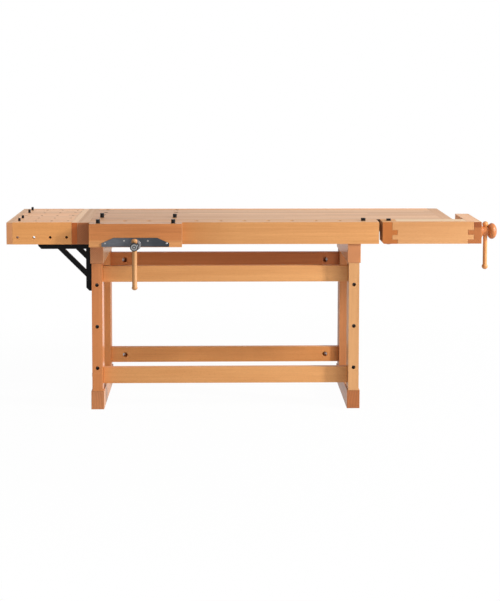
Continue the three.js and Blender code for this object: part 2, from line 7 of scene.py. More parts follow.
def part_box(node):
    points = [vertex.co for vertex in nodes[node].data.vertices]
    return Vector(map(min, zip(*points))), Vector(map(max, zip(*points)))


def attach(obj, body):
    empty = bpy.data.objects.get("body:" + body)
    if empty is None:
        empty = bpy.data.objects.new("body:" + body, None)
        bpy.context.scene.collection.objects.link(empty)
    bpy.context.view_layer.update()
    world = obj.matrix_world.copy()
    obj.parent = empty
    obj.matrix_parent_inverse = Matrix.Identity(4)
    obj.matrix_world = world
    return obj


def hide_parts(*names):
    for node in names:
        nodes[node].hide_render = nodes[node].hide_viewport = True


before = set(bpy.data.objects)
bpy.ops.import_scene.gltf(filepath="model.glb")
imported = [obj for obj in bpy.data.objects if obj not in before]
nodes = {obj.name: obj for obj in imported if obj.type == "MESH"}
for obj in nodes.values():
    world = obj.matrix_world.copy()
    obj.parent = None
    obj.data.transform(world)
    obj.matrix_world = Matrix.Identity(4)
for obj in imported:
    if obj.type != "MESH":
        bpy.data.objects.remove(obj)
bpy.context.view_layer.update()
print("frame:", len(nodes), "nodes")


# camera at the photograph's place
photoCamera = {
    "place": (-0.1758, -6.7716, 1.6577),
    "yaw": 1.373,
    "pitch": 4.377,
    "roll": 0.0836,
    "focalPixels": 1388.6,
    "imageHeight": 601,
    "sensor": 36.0,
    "shift": -0.22,
}


def makeCamera(look):
    data = bpy.data.cameras.new("photoCamera")
    data.sensor_width = look["sensor"]
    data.lens = look["sensor"] * look["focalPixels"] / look["imageHeight"]
    data.shift_y = look["shift"]
    camera = bpy.data.objects.new("photoCamera", data)
    camera.location = look["place"]
    turn = Matrix.Rotation(-math.radians(look["yaw"]), 3, "Z")
    tilt = Matrix.Rotation(math.radians(90 - look["pitch"]), 3, "X")
    roll = Matrix.Rotation(math.radians(look["roll"]), 3, "Z")
    camera.rotation_euler = (turn @ tilt @ roll).to_euler()
    bpy.context.scene.collection.objects.link(camera)
    bpy.context.scene.camera = camera


makeCamera(photoCamera)
print("camera set")


# node helpers: feed links or sets each input, wire adds a node and gives one of its outputs
def feed(tree, item, inputs):
    for key, value in inputs.items():
        socket = item.inputs[key]
        if isinstance(value, bpy.types.NodeSocket):
            tree.links.new(value, socket)
        else:
            socket.default_value = value


def wire(tree, kind, inputs, out=0, **settings):
    item = tree.nodes.new("ShaderNode" + kind)
    for key, value in settings.items():
        setattr(item, key, value)
    feed(tree, item, inputs)
    return item.outputs[out]


def calc(tree, operation, first, second=0.0):
    return wire(tree, "Math", {0: first, 1: second}, operation=operation)


def spread(tree, value, low, high, outLow=0.0, outHigh=1.0):
    return wire(tree, "MapRange", {"Value": value, "From Min": low, "From Max": high,
                                   "To Min": outLow, "To Max": outHigh})


def mixColor(tree, amount, first, second, blend="MIX"):
    return wire(tree, "Mix", {0: amount, 6: first, 7: second}, out=2, data_type="RGBA", blend_type=blend)


def stretched(tree, vector, scale):
    return wire(tree, "VectorMath", {0: vector, 1: scale}, operation="MULTIPLY")


def noise(tree, vector, scale, detail=2.0, roughness=0.5, distortion=0.0):
    return wire(tree, "TexNoise", {"Vector": stretched(tree, vector, scale), "Scale": 1.0, "Detail": detail,
                                   "Roughness": roughness, "Distortion": distortion})


def newGroup(name, inputs, outputs):
    group = bpy.data.node_groups.new(name, "ShaderNodeTree")
    for label, kind in inputs:
        group.interface.new_socket(label, in_out="INPUT", socket_type="NodeSocket" + kind)
    for label, kind in outputs:
        group.interface.new_socket(label, in_out="OUTPUT", socket_type="NodeSocket" + kind)
    entry = group.nodes.new("NodeGroupInput").outputs
    leave = group.nodes.new("NodeGroupOutput")
    return group, entry, leave


def placeGroup(tree, group, inputs):
    item = tree.nodes.new("ShaderNodeGroup")
    item.node_tree = group
    feed(tree, item, inputs)
    return item.outputs


def opaque(color, share=1.0):
    return tuple(channel * share for channel in color) + (1.0,)


def axisOf(tree, vector, index):
    return wire(tree, "SeparateXYZ", {0: vector}, out=index)


# a sum of several values, each with its share
def weigh(tree, values, shares):
    total = calc(tree, "MULTIPLY", values[0], shares[0])
    for value, share in zip(values[1:], shares[1:]):
        total = wire(tree, "Math", {0: value, 1: share, 2: total}, operation="MULTIPLY_ADD")
    return total


# multiplies a colour by a tint that goes from first to last as the value goes from low to high
def tintBy(tree, color, value, low, high, first, last):
    tint = mixColor(tree, spread(tree, value, low, high), opaque(first), opaque(last))
    return mixColor(tree, 1.0, color, tint, "MULTIPLY")


plain = (1, 1, 1)  # a tint that changes nothing


# long grain of a beech board, running along X of the vector it is given
longGrain = {
    "bands": {"scale": (0.8, 15.0, 15.0), "detail": 3.0, "distortion": 0.4},
    "streaks": {"scale": (1.7, 70.0, 70.0), "detail": 4.0, "roughness": 0.6, "distortion": 0.3},
    "fibres": {"scale": (12.0, 560.0, 560.0)},
    "flecks": {"scale": (150.0, 1300.0, 1300.0), "detail": 1.0},
    "shares": (0.42, 0.4, 0.18),  # of bands, streaks and fibres
    "contrast": (0.36, 0.64),
    "fleckEdge": (0.60, 0.70),
    "fleckDepth": 0.32,
    "fleckTone": 0.5,
    "glossRange": (0.3, 0.7),
    "roughness": (0.40, 0.56),
}


def makeGrainGroup(look):
    group, entry, leave = newGroup(
        "beechLongGrain",
        [("Vector", "Vector"), ("Pale", "Color"), ("Dark", "Color")],
        [("Color", "Color"), ("Roughness", "Float"), ("Height", "Float")],
    )
    bands, streaks, fibres, specks = (noise(group, entry["Vector"], **look[layer])
                                      for layer in ("bands", "streaks", "fibres", "flecks"))
    flecks = spread(group, specks, *look["fleckEdge"])
    total = weigh(group, (bands, streaks, fibres), look["shares"])
    tone = mixColor(group, spread(group, total, *look["contrast"]), entry["Pale"], entry["Dark"])
    fleckColor = mixColor(group, 1.0, entry["Dark"], opaque(plain, look["fleckTone"]), "MULTIPLY")
    fleckAmount = calc(group, "MULTIPLY", flecks, look["fleckDepth"])
    feed(group, leave, {
        "Color": mixColor(group, fleckAmount, tone, fleckColor),
        "Roughness": spread(group, total, *look["glossRange"], *look["roughness"]),
        "Height": calc(group, "SUBTRACT", fibres, flecks),
    })
    return group


# end grain: growth rings round X and open pores
endRings = {
    "rings": {"Scale": 42.0, "Distortion": 3.5, "Detail": 2.0, "Detail Scale": 0.8},
    "pores": {"scale": (40.0, 700.0, 700.0)},
    "patches": {"scale": (6.0, 22.0, 22.0), "detail": 3.0},
    "shares": (0.35, 0.35, 0.3),  # of rings, pores and patches
    "contrast": (0.3, 0.7),
}


def makeEndGroup(look):
    group, entry, leave = newGroup(
        "beechEndGrain",
        [("Vector", "Vector"), ("Pale", "Color"), ("Dark", "Color")],
        [("Color", "Color"), ("Height", "Float")],
    )
    vector = entry["Vector"]
    rings = wire(group, "TexWave", {"Vector": vector, **look["rings"]}, out=1,
                 wave_type="RINGS", rings_direction="X")
    pores = noise(group, vector, **look["pores"])
    patches = noise(group, vector, **look["patches"])
    total = weigh(group, (rings, pores, patches), look["shares"])
    tone = spread(group, total, *look["contrast"])
    feed(group, leave, {"Color": mixColor(group, tone, entry["Pale"], entry["Dark"]), "Height": pores})
    return group


# boards glued side by side along Y, each with its own tone, cut to lengths along X
glueUp = {"lineWidth": 0.0007, "spreadOfEnds": 7.0}


def makeStaveGroup(look):
    group, entry, leave = newGroup(
        "gluedStaves",
        [("Vector", "Vector"), ("Width", "Float"), ("Length", "Float"), ("Seed", "Float")],
        [("Tone", "Float"), ("Line", "Float")],
    )
    across = calc(group, "DIVIDE", axisOf(group, entry["Vector"], 1), entry["Width"])
    row = calc(group, "FLOOR", across)
    rowSeed = calc(group, "ADD", row, entry["Seed"])
    slide = wire(group, "TexWhiteNoise", {"W": rowSeed}, noise_dimensions="1D")
    along = calc(group, "DIVIDE", axisOf(group, entry["Vector"], 0), entry["Length"])
    along = wire(group, "Math", {0: slide, 1: look["spreadOfEnds"], 2: along}, operation="MULTIPLY_ADD")
    column = calc(group, "FLOOR", along)
    cell = wire(group, "CombineXYZ", {"X": rowSeed, "Y": column, "Z": 0.5})
    tone = wire(group, "TexWhiteNoise", {"Vector": cell}, noise_dimensions="3D")
    edges = []
    for value, size in ((across, entry["Width"]), (along, entry["Length"])):
        offset = calc(group, "ABSOLUTE", calc(group, "SUBTRACT", calc(group, "FRACT", value), 0.5))
        edge = calc(group, "SUBTRACT", 0.5, calc(group, "DIVIDE", look["lineWidth"], size))
        edges.append(calc(group, "GREATER_THAN", offset, edge))
    feed(group, leave, {"Tone": tone, "Line": calc(group, "MAXIMUM", *edges)})
    return group


# how far a face looks along the grain: 1 on sawn ends
sawnEnd = {"facing": (0.72, 0.92)}


def makeEndMaskGroup(look):
    group, entry, leave = newGroup("sawnEnd", [("Normal", "Vector"), ("Axis", "Vector")], [("Mask", "Float")])
    facing = wire(group, "VectorMath", {0: entry["Normal"], 1: entry["Axis"]}, out=1, operation="DOT_PRODUCT")
    feed(group, leave, {"Mask": spread(group, calc(group, "ABSOLUTE", facing), *look["facing"])})
    return group


longGrainGroup = makeGrainGroup(longGrain)
endGrainGroup = makeEndGroup(endRings)
staveGroup = makeStaveGroup(glueUp)
endMaskGroup = makeEndMaskGroup(sawnEnd)

# turn that brings the grain along X, and the grain's axis
grainTurns = {
    "x": ((0, 0, 0), (1, 0, 0)),
    "y": ((0, 0, -math.pi / 2), (0, 1, 0)),
    "z": ((0, math.pi / 2, 0), (0, 0, 1)),
}


def startMaterial(name):
    material = bpy.data.materials.new(name)
    material.use_nodes = True
    tree = material.node_tree
    shader = next(item for item in tree.nodes if item.type == "BSDF_PRINCIPLED")
    coords = tree.nodes.new("ShaderNodeTexCoord")
    return material, tree, shader, coords.outputs


# what all the boards share, where a piece's own look doesn't say otherwise
beechSurface = {
    "end": (0.42, 0.19, 0.085),
    "endTone": 0.66,
    "staveTones": (0.86, 1.08),
    "staveWarmth": (1.0, 0.98, 0.95),
    "glueShow": 0.45,
    "glueTone": 0.55,
    # painted sheen: how far up a face must look to take the sheen tint
    "topFacing": (0.6, 0.9),
    "gloss": 0.3,
    "coatRoughness": 0.2,
    "bump": {"Strength": 0.12, "Distance": 0.0006},
}


def makeBeech(name, look):
    look = {**beechSurface, **look}
    material, tree, shader, coords = startMaterial(name)
    turn, axis = grainTurns[look["grain"]]
    vector = wire(tree, "Mapping", {"Vector": coords["Object"], "Rotation": turn,
                                    "Location": look.get("offset", (0, 0, 0))})
    grain = placeGroup(tree, longGrainGroup, {"Vector": vector, "Pale": opaque(look["pale"]),
                                              "Dark": opaque(look["dark"])})
    color = grain["Color"]
    if "staves" in look:
        width, length = look["staves"]
        staves = placeGroup(tree, staveGroup, {"Vector": vector, "Width": width, "Length": length,
                                               "Seed": look["seed"]})
        low, high = look["staveTones"]
        channels = enumerate(look["staveWarmth"])
        tint = wire(tree, "CombineColor", {channel: spread(tree, staves["Tone"], 0, 1, low * warmth, high)
                                           for channel, warmth in channels})
        color = mixColor(tree, 1.0, color, tint, "MULTIPLY")
        lineAmount = calc(tree, "MULTIPLY", staves["Line"], look["glueShow"])
        color = mixColor(tree, lineAmount, color, opaque(look["dark"], look["glueTone"]))
    ends = placeGroup(tree, endGrainGroup, {"Vector": vector, "Pale": opaque(look["end"]),
                                            "Dark": opaque(look["end"], look["endTone"])})
    mask = placeGroup(tree, endMaskGroup, {"Normal": coords["Normal"], "Axis": axis})["Mask"]
    endColor = ends["Color"]
    height = axisOf(tree, coords["Object"], 2)
    upward = axisOf(tree, coords["Normal"], 2)
    if "endBoards" in look:
        endColor = tintBy(tree, endColor, height, *look["endBoards"])
    color = mixColor(tree, mask, color, endColor)
    if "boards" in look:
        color = tintBy(tree, color, height, *look["boards"])
    # painted sheen: faces that look up are tinted paler and bluer, for the sky's reflection on them
    if "topTint" in look:
        color = tintBy(tree, color, upward, *look["topFacing"], plain, look["topTint"])
    # painted light and shade: the colour is tinted along X, paler or darker as light falls along the piece
    if "fade" in look:
        color = tintBy(tree, color, axisOf(tree, coords["Object"], 0), *look["fade"])
    coat = look.get("coat", 0.0)
    # painted shade on the walls of each drilled hole, which also lose their coat
    if "holes" in look:
        upright = calc(tree, "ABSOLUTE", upward)
        color = tintBy(tree, color, upright, *look["holes"])
        if coat:
            coat = spread(tree, upright, *look["holes"][:2], coat, 0.0)
    relief = wire(tree, "Mix", {0: mask, 2: grain["Height"], 3: ends["Height"]}, data_type="FLOAT")
    feed(tree, shader, {
        "Base Color": color,
        "Roughness": grain["Roughness"],
        "Normal": wire(tree, "Bump", {"Height": relief, **look["bump"]}),
        "Specular IOR Level": look["gloss"],
        "Coat Weight": coat,
        "Coat Roughness": look["coatRoughness"],
    })
    return material


# painted shade: the walls of each drilled hole are darkened, as shade falls in them; in level boards they
# stand upright, in legs they lie level
boardHoleShade = (0.3, 0.6, (0.12, 0.09, 0.07), plain)
legHoleShade = (0.12, 0.3, plain, (0.15, 0.1, 0.08))

# boards of each wooden piece: grain direction, tones, glued staves
# boards, endBoards, fade and holes read low and high values, then the tints there; the last two are painted
# light and shade
beechLooks = {
    # painted shade: the top darkens towards its left end
    "benchTopBeech": {"grain": "x", "pale": (0.67, 0.385, 0.20), "dark": (0.53, 0.275, 0.135),
                      "end": (0.42, 0.20, 0.095), "staves": (0.0455, 0.9), "seed": 11.0, "gloss": 0.5,
                      "holes": boardHoleShade, "fade": (-0.78, 0.0, (0.84, 0.76, 0.68), plain)},
    # painted sheen on the rail's top face, and painted shade darkening the rail towards its left end
    "dogRailBeech": {"grain": "x", "pale": (0.724, 0.359, 0.137), "dark": (0.587, 0.262, 0.086),
                     "staves": (0.042, 4.0), "seed": 5.0,
                     "staveTones": (0.95, 1.04), "topTint": (0.93, 1.06, 1.4),
                     "fade": (-0.34, -0.08, (0.84, 0.74, 0.64), plain)},
    "apronBeech": {"grain": "x", "pale": (0.89, 0.41, 0.138), "dark": (0.74, 0.30, 0.085)},
    "tailBoardBeech": {"grain": "x", "pale": (0.645, 0.328, 0.136), "dark": (0.533, 0.243, 0.087)},
    "tailCoverBeech": {"grain": "x", "pale": (0.723, 0.524, 0.32), "dark": (0.606, 0.388, 0.209)},
    # painted sheen: the jaw's top face is tinted paler and bluer
    "jawBeech": {"grain": "x", "pale": (0.69, 0.262, 0.077), "dark": (0.47, 0.152, 0.040),
                 "end": (0.62, 0.33, 0.17), "offset": (0.3, 0.7, 0.1), "coat": 0.2,
                 "topTint": (0.80, 1.08, 1.65), "boards": (0.8206, 0.8214, (1.08, 1.28, 1.5), plain)},
    "extensionTopBeech": {"grain": "x", "pale": (0.87, 0.473, 0.242), "dark": (0.73, 0.368, 0.17),
                          "end": (0.42, 0.20, 0.095), "staves": (0.057, 0.6), "seed": 21.0, "gloss": 0.5,
                          "holes": boardHoleShade},
    "endCapBeech": {"grain": "y", "pale": (0.62, 0.36, 0.19), "dark": (0.50, 0.265, 0.135),
                    "end": (0.52, 0.18, 0.065)},
    # painted light and shade: end grain paler on the outer panel, which the light reaches, and darker on the
    # inner panel, in the jaw's shadow
    "outerPanelBeech": {"grain": "y", "pale": (0.76, 0.45, 0.25), "dark": (0.61, 0.33, 0.16),
                        "end": (0.83, 0.364, 0.154)},
    "innerPanelBeech": {"grain": "y", "pale": (0.90, 0.58, 0.36), "dark": (0.74, 0.45, 0.25),
                        "end": (0.64, 0.158, 0.032)},
    "trestleBeech": {"grain": "y", "pale": (0.80, 0.42, 0.18), "dark": (0.67, 0.33, 0.135),
                     "end": (0.625, 0.245, 0.092), "coat": 0.25},
    # painted light and shade: one foot wood, with end grain paler on the left foot and darker on the right
    "leftFootBeech": {"grain": "y", "pale": (0.58, 0.265, 0.106), "dark": (0.48, 0.205, 0.078),
                      "end": (0.65, 0.245, 0.09), "coat": 0.25},
    "rightFootBeech": {"grain": "y", "pale": (0.58, 0.265, 0.106), "dark": (0.48, 0.205, 0.078),
                       "end": (0.467, 0.149, 0.041), "coat": 0.25},
    # painted sheen: a paler copy of the trestle wood for the left bearer, whose inner face shows a sheen
    "leftBearerBeech": {"grain": "y", "pale": (0.84, 0.48, 0.23), "dark": (0.70, 0.37, 0.165),
                        "end": (0.73, 0.29, 0.115), "coat": 0.25},
    # painted light and shade: copies of one leg wood, darker on the left front and right rear legs for the
    # shade on them, paler on the left rear and right front legs for the light on them
    "leftLegBeech": {"grain": "z", "pale": (0.68, 0.243, 0.07), "dark": (0.55, 0.178, 0.047),
                     "holes": legHoleShade, "coat": 0.45},
    "leftRearBeech": {"grain": "z", "pale": (0.93, 0.40, 0.14), "dark": (0.80, 0.30, 0.095),
                      "holes": legHoleShade},
    "rightLegBeech": {"grain": "z", "pale": (0.68, 0.358, 0.149), "dark": (0.545, 0.259, 0.10),
                      "offset": (0.4, 0.2, 0.9), "holes": legHoleShade},
    "rightRearBeech": {"grain": "z", "pale": (0.53, 0.22, 0.081), "dark": (0.42, 0.157, 0.053),
                       "offset": (0.7, 0.2, 0.4), "holes": legHoleShade},
    "stretcherBeech": {"grain": "x", "pale": (0.743, 0.362, 0.134), "dark": (0.611, 0.268, 0.087),
                       "offset": (0.0, 0.31, 0.17)},
    # painted light and shade: copies of the stretcher wood; the lower one paler at its left end and darker at
    # its right, the upper one darker all over, in the shade of the top, and paler towards its left end
    "lowerRearBeech": {"grain": "x", "pale": (0.79, 0.38, 0.135), "dark": (0.65, 0.28, 0.088),
                       "offset": (0.2, 0.51, 0.77),
                       "fade": (-0.72, 0.45, (1.18, 1.2, 1.22), (0.88, 0.80, 0.74))},
    "upperRearBeech": {"grain": "x", "pale": (0.56, 0.19, 0.056), "dark": (0.45, 0.138, 0.037),
                       "offset": (0.6, 0.11, 0.47),
                       "fade": (-0.72, 0.45, (1.25, 1.32, 1.36), (0.84, 0.79, 0.77))},
    "tailJawBeech": {"grain": "y", "pale": (0.74, 0.42, 0.23), "dark": (0.60, 0.31, 0.145),
                     "end": (0.55, 0.185, 0.056), "gloss": 0.0},
    "tailEndBeech": {"grain": "y", "pale": (0.74, 0.42, 0.23), "dark": (0.60, 0.31, 0.145),
                     "end": (0.465, 0.152, 0.042), "endBoards": (0.8736, 0.8744, plain, (0.68, 0.54, 0.46))},
    "handleBeech": {"grain": "z", "pale": (0.62, 0.315, 0.115), "dark": (0.50, 0.224, 0.07),
                    "end": (0.50, 0.20, 0.065), "gloss": 0.5},
    "tailHandleBeech": {"grain": "z", "pale": (0.64, 0.275, 0.084), "dark": (0.505, 0.197, 0.052),
                        "end": (0.42, 0.17, 0.06), "gloss": 0.5},
    "screwHeadBeech": {"grain": "x", "pale": (0.49, 0.16, 0.037), "dark": (0.34, 0.098, 0.021),
                       "end": (0.38, 0.11, 0.024), "coat": 0.35},
}
wood = {name: makeBeech(name, look) for name, look in beechLooks.items()}
print("beech finishes:", len(wood))


# steel: fine brushing along the piece and a few dull patches
steelSurface = {
    "brush": {"scale": (30.0, 900.0, 900.0), "detail": 3.0},
    "patches": {"scale": (18.0, 18.0, 18.0), "detail": 3.0},
    "contrast": (0.75, 1.25),
    "bumpDepth": 0.0003,
    "gloss": 0.5,
}


def makeBrushGroup(look):
    group, entry, leave = newGroup(
        "brushedSteel",
        [("Vector", "Vector"), ("Pale", "Color"), ("Dark", "Color"), ("Low", "Float"), ("High", "Float")],
        [("Color", "Color"), ("Roughness", "Float"), ("Height", "Float")],
    )
    brush = noise(group, entry["Vector"], **look["brush"])
    patches = noise(group, entry["Vector"], **look["patches"])
    amount = spread(group, calc(group, "ADD", brush, patches), *look["contrast"])
    feed(group, leave, {
        "Color": mixColor(group, amount, entry["Pale"], entry["Dark"]),
        "Roughness": spread(group, amount, 0, 1, entry["Low"], entry["High"]),
        "Height": brush,
    })
    return group


brushGroup = makeBrushGroup(steelSurface)


def makeSteel(name, look):
    material, tree, shader, coords = startMaterial(name)
    vector = wire(tree, "Mapping", {"Vector": coords["Object"], "Rotation": grainTurns[look["brush"]][0]})
    low, high = look["roughness"]
    brushed = placeGroup(tree, brushGroup, {"Vector": vector, "Pale": opaque(look["pale"]),
                                            "Dark": opaque(look["dark"]), "Low": low, "High": high})
    color = brushed["Color"]
    # painted light and shade: the colour is tinted along X
    if "fade" in look:
        color = tintBy(tree, color, axisOf(tree, coords["Object"], 0), *look["fade"])
    normal = wire(tree, "Bump", {"Strength": look["bump"], "Distance": steelSurface["bumpDepth"],
                                 "Height": brushed["Height"]})
    feed(tree, shader, {
        "Base Color": color,
        "Roughness": brushed["Roughness"],
        "Normal": normal,
        "Metallic": look["metallic"],
        "Specular IOR Level": look.get("gloss", steelSurface["gloss"]),
    })
    return material


steelLooks = {
    "brightSteel": {"brush": "y", "pale": (0.62, 0.62, 0.61), "dark": (0.46, 0.46, 0.46),
                    "roughness": (0.22, 0.36), "bump": 0.06, "metallic": 1.0},
    "polishedSteel": {"brush": "y", "pale": (0.72, 0.72, 0.71), "dark": (0.58, 0.58, 0.57),
                      "roughness": (0.12, 0.24), "bump": 0.03, "metallic": 1.0},
    "collarSteel": {"brush": "z", "pale": (0.24, 0.24, 0.245), "dark": (0.16, 0.16, 0.165),
                    "roughness": (0.26, 0.36), "bump": 0.03, "metallic": 0.4, "gloss": 0.9},
    "nutSteel": {"brush": "x", "pale": (0.76, 0.75, 0.74), "dark": (0.60, 0.59, 0.58),
                 "roughness": (0.3, 0.44), "bump": 0.05, "metallic": 1.0},
    "screwSteel": {"brush": "x", "pale": (0.42, 0.41, 0.40), "dark": (0.30, 0.29, 0.28),
                   "roughness": (0.26, 0.4), "bump": 0.05, "metallic": 1.0},
    # painted reflection: the plate is paler at its left end and darker towards the right
    "plateSteel": {"brush": "x", "pale": (0.086, 0.093, 0.104), "dark": (0.056, 0.061, 0.069),
                   "roughness": (0.34, 0.5), "bump": 0.08, "metallic": 0.6,
                   "fade": (-0.715, -0.41, (1.9, 1.9, 1.9), (0.42, 0.47, 0.52))},
    "blackCoat": {"brush": "x", "pale": (0.0055, 0.0058, 0.0062), "dark": (0.003, 0.0031, 0.0034),
                  "roughness": (0.42, 0.58), "bump": 0.15, "metallic": 0.0, "gloss": 0.12},
    "blackenedDog": {"brush": "z", "pale": (0.012, 0.012, 0.0125), "dark": (0.006, 0.006, 0.0065),
                     "roughness": (0.4, 0.55), "bump": 0.1, "metallic": 0.0, "gloss": 0.14},
}
steel = {name: makeSteel(name, look) for name, look in steelLooks.items()}
print("metal finishes:", len(steel))


# shaping helpers: sides of round pieces, angles past which an edge stays sharp, merging distances
shaping = {
    "turnedSides": 64,
    "pinSides": 48,
    "smallSides": 32,
    "sharp": 40,
    "pinSharp": 30,
    "threadSharp": 25,
    "headSharp": 50,
    "merge": 1e-6,
    "threadMerge": 1e-5,
    "bevelSegments": 2,
    "bevelProfile": 0.5,
    "bevelAngle": 30,
}


# a swelling that leaves a neck and closes on the axis
def bulb(neck, radius, start, length, rings=14):
    opening = -math.acos(neck / radius)
    half = length / (1 - math.sin(opening))
    points = []
    for step in range(rings + 1):
        angle = opening + (math.pi / 2 - opening) * step / rings
        across = 0.0 if step == rings else radius * math.cos(angle)
        points.append((across, start + half * (math.sin(angle) - math.sin(opening))))
    return points


# a quarter curve from the first point to the last
def cove(first, last, rings=8):
    points = []
    for step in range(rings + 1):
        angle = math.pi / 2 * step / rings
        across = first[0] + (last[0] - first[0]) * math.sin(angle)
        points.append((across, first[1] + (last[1] - first[1]) * (1 - math.cos(angle))))
    return points


def turnedShape(outline, steps=shaping["turnedSides"]):
    bm = bmesh.new()
    points = [bm.verts.new((across, 0, along)) for across, along in outline]
    edges = [bm.edges.new(pair) for pair in zip(points, points[1:])]
    bmesh.ops.spin(bm, geom=points + edges, cent=(0, 0, 0), axis=(0, 0, 1), dvec=(0, 0, 0),
                   angle=2 * math.pi, steps=steps, use_merge=True)
    bmesh.ops.remove_doubles(bm, verts=bm.verts, dist=shaping["merge"])
    bmesh.ops.recalc_face_normals(bm, faces=bm.faces)
    return bm


# one turn of the thread's section spun upwards, cut level at both ends
def threadedShape(look, length):
    bm = bmesh.new()
    lead, root, crest = look["lead"], look["root"], look["crest"]
    rise, top, fall, foot = look["flanks"]
    section = [(root, 0.0), (root, rise), (crest, top), (crest, fall), (root, foot), (root, 1.0)]
    points = [bm.verts.new((across, 0, (along - 1) * lead)) for across, along in section]
    edges = [bm.edges.new(pair) for pair in zip(points, points[1:])]
    turns = math.ceil(length / lead) + 1
    bmesh.ops.spin(bm, geom=points + edges, cent=(0, 0, 0), axis=(0, 0, 1), dvec=(0, 0, lead / look["steps"]),
                   angle=2 * math.pi * turns, steps=turns * look["steps"], use_merge=False)
    near = shaping["threadMerge"]
    bmesh.ops.remove_doubles(bm, verts=bm.verts, dist=near)
    for height, outward in ((0.0, -1), (length, 1)):
        everything = bm.verts[:] + bm.edges[:] + bm.faces[:]
        bmesh.ops.bisect_plane(bm, geom=everything, plane_co=(0, 0, height), plane_no=(0, 0, outward),
                               clear_outer=True)
        rim = [edge for edge in bm.edges
               if edge.is_boundary and all(abs(corner.co.z - height) < near for corner in edge.verts)]
        bmesh.ops.holes_fill(bm, edges=rim, sides=0)
    bmesh.ops.recalc_face_normals(bm, faces=bm.faces)
    return bm


# turns that lay a shape's own Z along each direction
turnTo = {
    "z": Matrix.Identity(4),
    "x": Matrix.Rotation(math.pi / 2, 4, "Y"),
    "y": Matrix.Rotation(-math.pi / 2, 4, "X"),
    "front": Matrix.Rotation(math.pi / 2, 4, "X"),
    "left": Matrix.Rotation(-math.pi / 2, 4, "Y"),
}


def setDown(bm, axis, place):
    bmesh.ops.transform(bm, matrix=Matrix.Translation(place) @ turnTo[axis], verts=bm.verts)
    return bm


def makeObject(bm, name, sharp=shaping["sharp"]):
    mesh = bpy.data.meshes.new(name)
    bm.to_mesh(mesh)
    bm.free()
    mesh.shade_smooth()
    mesh.set_sharp_from_angle(angle=math.radians(sharp))
    piece = bpy.data.objects.new(name, mesh)
    bpy.context.scene.collection.objects.link(piece)
    return piece


def drill(piece, cutterShape, sharp=shaping["sharp"]):
    cutter = makeObject(cutterShape, piece.name + "Cutter")
    hole = piece.modifiers.new("hole", "BOOLEAN")
    hole.operation = "DIFFERENCE"
    hole.solver = "EXACT"
    hole.object = cutter
    graph = bpy.context.evaluated_depsgraph_get()
    drilled = bpy.data.meshes.new_from_object(piece.evaluated_get(graph))
    piece.modifiers.clear()
    piece.data = drilled
    bpy.data.objects.remove(cutter)
    drilled.shade_smooth()
    drilled.set_sharp_from_angle(angle=math.radians(sharp))


def addBox(bm, size, centre):
    made = bmesh.ops.create_cube(bm, size=1.0)["verts"]
    bmesh.ops.scale(bm, vec=size, verts=made)
    bmesh.ops.translate(bm, vec=centre, verts=made)
    return bm


def prismShape(radius, low, high, sides=shaping["turnedSides"]):
    bm = bmesh.new()
    bmesh.ops.create_cone(bm, cap_ends=True, segments=sides, radius1=radius, radius2=radius, depth=high - low)
    bmesh.ops.translate(bm, vec=(0, 0, (low + high) / 2), verts=bm.verts)
    return bm


def softenEdges(piece, width, angle=shaping["bevelAngle"]):
    bevel = piece.modifiers.new("edges", "BEVEL")
    bevel.width = width
    bevel.segments = shaping["bevelSegments"]
    bevel.limit_method = "ANGLE"
    bevel.angle_limit = math.radians(angle)
    bevel.profile = shaping["bevelProfile"]


def plainName(node):
    first, *rest = node.split("_")
    return first + "".join(map(str.title, rest))


def fitPiece(piece, material, body, slot, *replaced):
    piece.data.materials.clear()
    piece.data.materials.append(material)
    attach(piece, body)
    if replaced:
        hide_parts(*replaced)
    return piece


def middleOf(name):
    low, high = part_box(name)
    return (low + high) / 2


# turned handles: a bar with a knob below, and a second knob pegged on its upper end
handleLooks = {
    "front": {"bar": 0.0115, "knob": 0.0138, "knobHeight": 0.017, "finish": "handleBeech"},
    "tail": {"bar": 0.0102, "knob": 0.0145, "knobHeight": 0.024, "finish": "tailHandleBeech"},
}
knobPeg = {"radius": 0.006, "length": 0.009, "room": 0.0003, "shoulder": 0.001}


def makeHandle(side, look):
    low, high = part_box(side + "_handle")
    place = middleOf(side + "_handle")
    place.z = low.z
    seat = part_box(side + "_handle_knob")[0].z - knobPeg["room"] - low.z
    lower = [(across, look["knobHeight"] - along) for across, along
             in reversed(bulb(look["bar"], look["knob"], 0.0, look["knobHeight"]))]
    shoulder = knobPeg["shoulder"]
    bar = lower + [(look["bar"], seat - shoulder), (look["bar"] - shoulder, seat), (knobPeg["radius"], seat),
                   (knobPeg["radius"], high.z - low.z), (0.0, high.z - low.z)]
    piece = makeObject(setDown(turnedShape(bar), "z", place), side + "HandleBar")
    fitPiece(piece, wood[look["finish"]], side + "_handle", "turned_beech", side + "_handle")
    socket = knobPeg["radius"] + knobPeg["room"]
    depth = seat + knobPeg["length"] + knobPeg["room"] * 2
    knob = [(0.0, depth), (socket, depth), (socket, seat + knobPeg["room"])]
    knob += bulb(look["bar"], look["knob"], seat + knobPeg["room"], look["knobHeight"])
    piece = makeObject(setDown(turnedShape(knob), "z", place), side + "HandleKnob")
    fitPiece(piece, wood[look["finish"]], side + "_handle", "turned_beech", side + "_handle_knob")


for side, look in handleLooks.items():
    makeHandle(side, look)
print("handles turned")


# front vise screw: a conical collar, a drilled hub with a turned face, and the threaded shank
frontScrewLook = {
    "collar": 0.027,
    "lip": 0.008,
    "collarLength": 0.038,
    "hub": 0.0195,
    "hubLength": 0.060,
    "chamfer": 0.0035,
    "edge": 0.001,
    "lipEdge": 0.0015,
    "coneFoot": (0.003, 0.006),
    "groove": (0.0090, 0.0058),
    "grooveDepth": 0.0024,
    "centreHole": 0.0018,
    "plainLength": 0.062,
    "handleHole": 0.0120,
}
